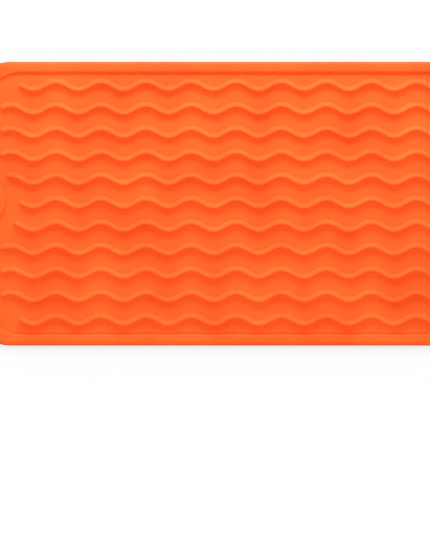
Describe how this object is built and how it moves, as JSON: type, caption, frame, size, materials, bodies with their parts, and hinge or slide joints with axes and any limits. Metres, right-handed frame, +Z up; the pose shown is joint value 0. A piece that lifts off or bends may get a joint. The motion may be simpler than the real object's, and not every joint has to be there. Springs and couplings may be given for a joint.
{
  "type": "silicone heat mat",
  "caption": "Roll-up moulded silicone mat with a raised rim and wavy ribs, on which hot hair tools are laid.",
  "frame": {"origin": "centre of the underside, with the mat lying flat on a surface", "axes": "+X along the long side, away from the hanging hole; +Y across the mat, towards the far long edge; +Z up, out of the ribbed face"},
  "size_m": [0.3048, 0.165, 0.004],
  "materials": {
    "silicone": "satin matte moulded silicone, bright orange"
  },
  "bodies": {
    "rim_band_far": {"rim_band_far": "silicone"},
    "rib_band_01": {"rib_band_01": "silicone"},
    "web_band_01": {"web_band_01": "silicone"},
    "rib_band_02": {"rib_band_02": "silicone"},
    "web_band_02": {"web_band_02": "silicone"},
    "rib_band_03": {"rib_band_03": "silicone"},
    "web_band_03": {"web_band_03": "silicone"},
    "rib_band_04": {"rib_band_04": "silicone"},
    "web_band_04": {"web_band_04": "silicone"},
    "rib_band_05": {"rib_band_05": "silicone"},
    "web_band_05": {"web_band_05": "silicone"},
    "rib_band_06": {"rib_band_06": "silicone"},
    "web_band_06": {"web_band_06": "silicone"},
    "rib_band_07": {"rib_band_07": "silicone"},
    "web_band_07": {"web_band_07": "silicone"},
    "rib_band_08": {"rib_band_08": "silicone"},
    "web_band_08": {"web_band_08": "silicone"},
    "rib_band_09": {"rib_band_09": "silicone"},
    "web_band_09": {"web_band_09": "silicone"},
    "rib_band_10": {"rib_band_10": "silicone"},
    "web_band_10": {"web_band_10": "silicone"},
    "rib_band_11": {"rib_band_11": "silicone"},
    "rim_band_near": {"rim_band_near": "silicone"}
  },
  "joints": [
    {"name": "roll_up", "type": "hinge", "parent": "rib_band_06", "child": "web_band_06", "pos_m": [0, -0.00465, 0.0009], "axis": [1, 0, 0], "range_deg": [-16.96, 16.96], "stiffness_Nm_per_rad": 0.01},
    {"name": "bend_near_02", "type": "hinge", "parent": "web_band_06", "child": "rib_band_07", "pos_m": [0, -0.00902, 0.0009], "axis": [1, 0, 0], "range_deg": [-17.16, 17.16], "stiffness_Nm_per_rad": 0.01},
    {"name": "bend_near_03", "type": "hinge", "parent": "rib_band_07", "child": "web_band_07", "pos_m": [0, -0.01832, 0.0009], "axis": [1, 0, 0], "range_deg": [-17.47, 17.47], "stiffness_Nm_per_rad": 0.01},
    {"name": "bend_near_04", "type": "hinge", "parent": "web_band_07", "child": "rib_band_08", "pos_m": [0, -0.02269, 0.0009], "axis": [1, 0, 0], "range_deg": [-17.63, 17.63], "stiffness_Nm_per_rad": 0.01},
    {"name": "bend_near_05", "type": "hinge", "parent": "rib_band_08", "child": "web_band_08", "pos_m": [0, -0.03199, 0.0009], "axis": [1, 0, 0], "range_deg": [-17.96, 17.96], "stiffness_Nm_per_rad": 0.01},
    {"name": "bend_near_06", "type": "hinge", "parent": "web_band_08", "child": "rib_band_09", "pos_m": [0, -0.03636, 0.0009], "axis": [1, 0, 0], "range_deg": [-18.13, 18.13], "stiffness_Nm_per_rad": 0.01},
    {"name": "bend_near_07", "type": "hinge", "parent": "rib_band_09", "child": "web_band_09", "pos_m": [0, -0.04566, 0.0009], "axis": [1, 0, 0], "range_deg": [-18.48, 18.48], "stiffness_Nm_per_rad": 0.01},
    {"name": "bend_near_08", "type": "hinge", "parent": "web_band_09", "child": "rib_band_10", "pos_m": [0, -0.05003, 0.0009], "axis": [1, 0, 0], "range_deg": [-18.66, 18.66], "stiffness_Nm_per_rad": 0.01},
    {"name": "bend_near_09", "type": "hinge", "parent": "rib_band_10", "child": "web_band_10", "pos_m": [0, -0.05933, 0.0009], "axis": [1, 0, 0], "range_deg": [-19.03, 19.03], "stiffness_Nm_per_rad": 0.01},
    {"name": "bend_near_10", "type": "hinge", "parent": "web_band_10", "child": "rib_band_11", "pos_m": [0, -0.0637, 0.0009], "axis": [1, 0, 0], "range_deg": [-19.21, 19.21], "stiffness_Nm_per_rad": 0.01},
    {"name": "bend_near_11", "type": "hinge", "parent": "rib_band_11", "child": "rim_band_near", "pos_m": [0, -0.073, 0.0009], "axis": [1, 0, 0], "range_deg": [-19.62, 19.62], "stiffness_Nm_per_rad": 0.01},
    {"name": "bend_far_01", "type": "hinge", "parent": "rib_band_06", "child": "web_band_05", "pos_m": [0, 0.00465, 0.0009], "axis": [-1, 0, 0], "range_deg": [-16.71, 16.71], "stiffness_Nm_per_rad": 0.01},
    {"name": "bend_far_02", "type": "hinge", "parent": "web_band_05", "child": "rib_band_05", "pos_m": [0, 0.00902, 0.0009], "axis": [-1, 0, 0], "range_deg": [-16.57, 16.57], "stiffness_Nm_per_rad": 0.01},
    {"name": "bend_far_03", "type": "hinge", "parent": "rib_band_05", "child": "web_band_04", "pos_m": [0, 0.01832, 0.0009], "axis": [-1, 0, 0], "range_deg": [-16.28, 16.28], "stiffness_Nm_per_rad": 0.01},
    {"name": "bend_far_04", "type": "hinge", "parent": "web_band_04", "child": "rib_band_04", "pos_m": [0, 0.02269, 0.0009], "axis": [-1, 0, 0], "range_deg": [-16.15, 16.15], "stiffness_Nm_per_rad": 0.01},
    {"name": "bend_far_05", "type": "hinge", "parent": "rib_band_04", "child": "web_band_03", "pos_m": [0, 0.03199, 0.0009], "axis": [-1, 0, 0], "range_deg": [-15.88, 15.88], "stiffness_Nm_per_rad": 0.01},
    {"name": "bend_far_06", "type": "hinge", "parent": "web_band_03", "child": "rib_band_03", "pos_m": [0, 0.03636, 0.0009], "axis": [-1, 0, 0], "range_deg": [-15.75, 15.75], "stiffness_Nm_per_rad": 0.01},
    {"name": "bend_far_07", "type": "hinge", "parent": "rib_band_03", "child": "web_band_02", "pos_m": [0, 0.04566, 0.0009], "axis": [-1, 0, 0], "range_deg": [-15.5, 15.5], "stiffness_Nm_per_rad": 0.01},
    {"name": "bend_far_08", "type": "hinge", "parent": "web_band_02", "child": "rib_band_02", "pos_m": [0, 0.05003, 0.0009], "axis": [-1, 0, 0], "range_deg": [-15.38, 15.38], "stiffness_Nm_per_rad": 0.01},
    {"name": "bend_far_09", "type": "hinge", "parent": "rib_band_02", "child": "web_band_01", "pos_m": [0, 0.05933, 0.0009], "axis": [-1, 0, 0], "range_deg": [-15.13, 15.13], "stiffness_Nm_per_rad": 0.01},
    {"name": "bend_far_10", "type": "hinge", "parent": "web_band_01", "child": "rib_band_01", "pos_m": [0, 0.0637, 0.0009], "axis": [-1, 0, 0], "range_deg": [-15.02, 15.02], "stiffness_Nm_per_rad": 0.01},
    {"name": "bend_far_11", "type": "hinge", "parent": "rib_band_01", "child": "rim_band_far", "pos_m": [0, 0.073, 0.0009], "axis": [-1, 0, 0], "range_deg": [-14.78, 14.78], "stiffness_Nm_per_rad": 0.01}
  ],
  "couplings": [
    {"joint": "bend_near_02", "follows": "roll_up", "ratio": 1.0086},
    {"joint": "bend_near_03", "follows": "roll_up", "ratio": 1.0274},
    {"joint": "bend_near_04", "follows": "roll_up", "ratio": 1.0364},
    {"joint": "bend_near_05", "follows": "roll_up", "ratio": 1.0563},
    {"joint": "bend_near_06", "follows": "roll_up", "ratio": 1.0659},
    {"joint": "bend_near_07", "follows": "roll_up", "ratio": 1.0869},
    {"joint": "bend_near_08", "follows": "roll_up", "ratio": 1.097},
    {"joint": "bend_near_09", "follows": "roll_up", "ratio": 1.1193},
    {"joint": "bend_near_10", "follows": "roll_up", "ratio": 1.13},
    {"joint": "bend_near_11", "follows": "roll_up", "ratio": 1.1537},
    {"joint": "bend_far_01", "follows": "roll_up", "ratio": 0.9822},
    {"joint": "bend_far_02", "follows": "roll_up", "ratio": 0.9741},
    {"joint": "bend_far_03", "follows": "roll_up", "ratio": 0.9572},
    {"joint": "bend_far_04", "follows": "roll_up", "ratio": 0.9494},
    {"joint": "bend_far_05", "follows": "roll_up", "ratio": 0.9334},
    {"joint": "bend_far_06", "follows": "roll_up", "ratio": 0.926},
    {"joint": "bend_far_07", "follows": "roll_up", "ratio": 0.9107},
    {"joint": "bend_far_08", "follows": "roll_up", "ratio": 0.9037},
    {"joint": "bend_far_09", "follows": "roll_up", "ratio": 0.8891},
    {"joint": "bend_far_10", "follows": "roll_up", "ratio": 0.8825},
    {"joint": "bend_far_11", "follows": "roll_up", "ratio": 0.8686}
  ]
}
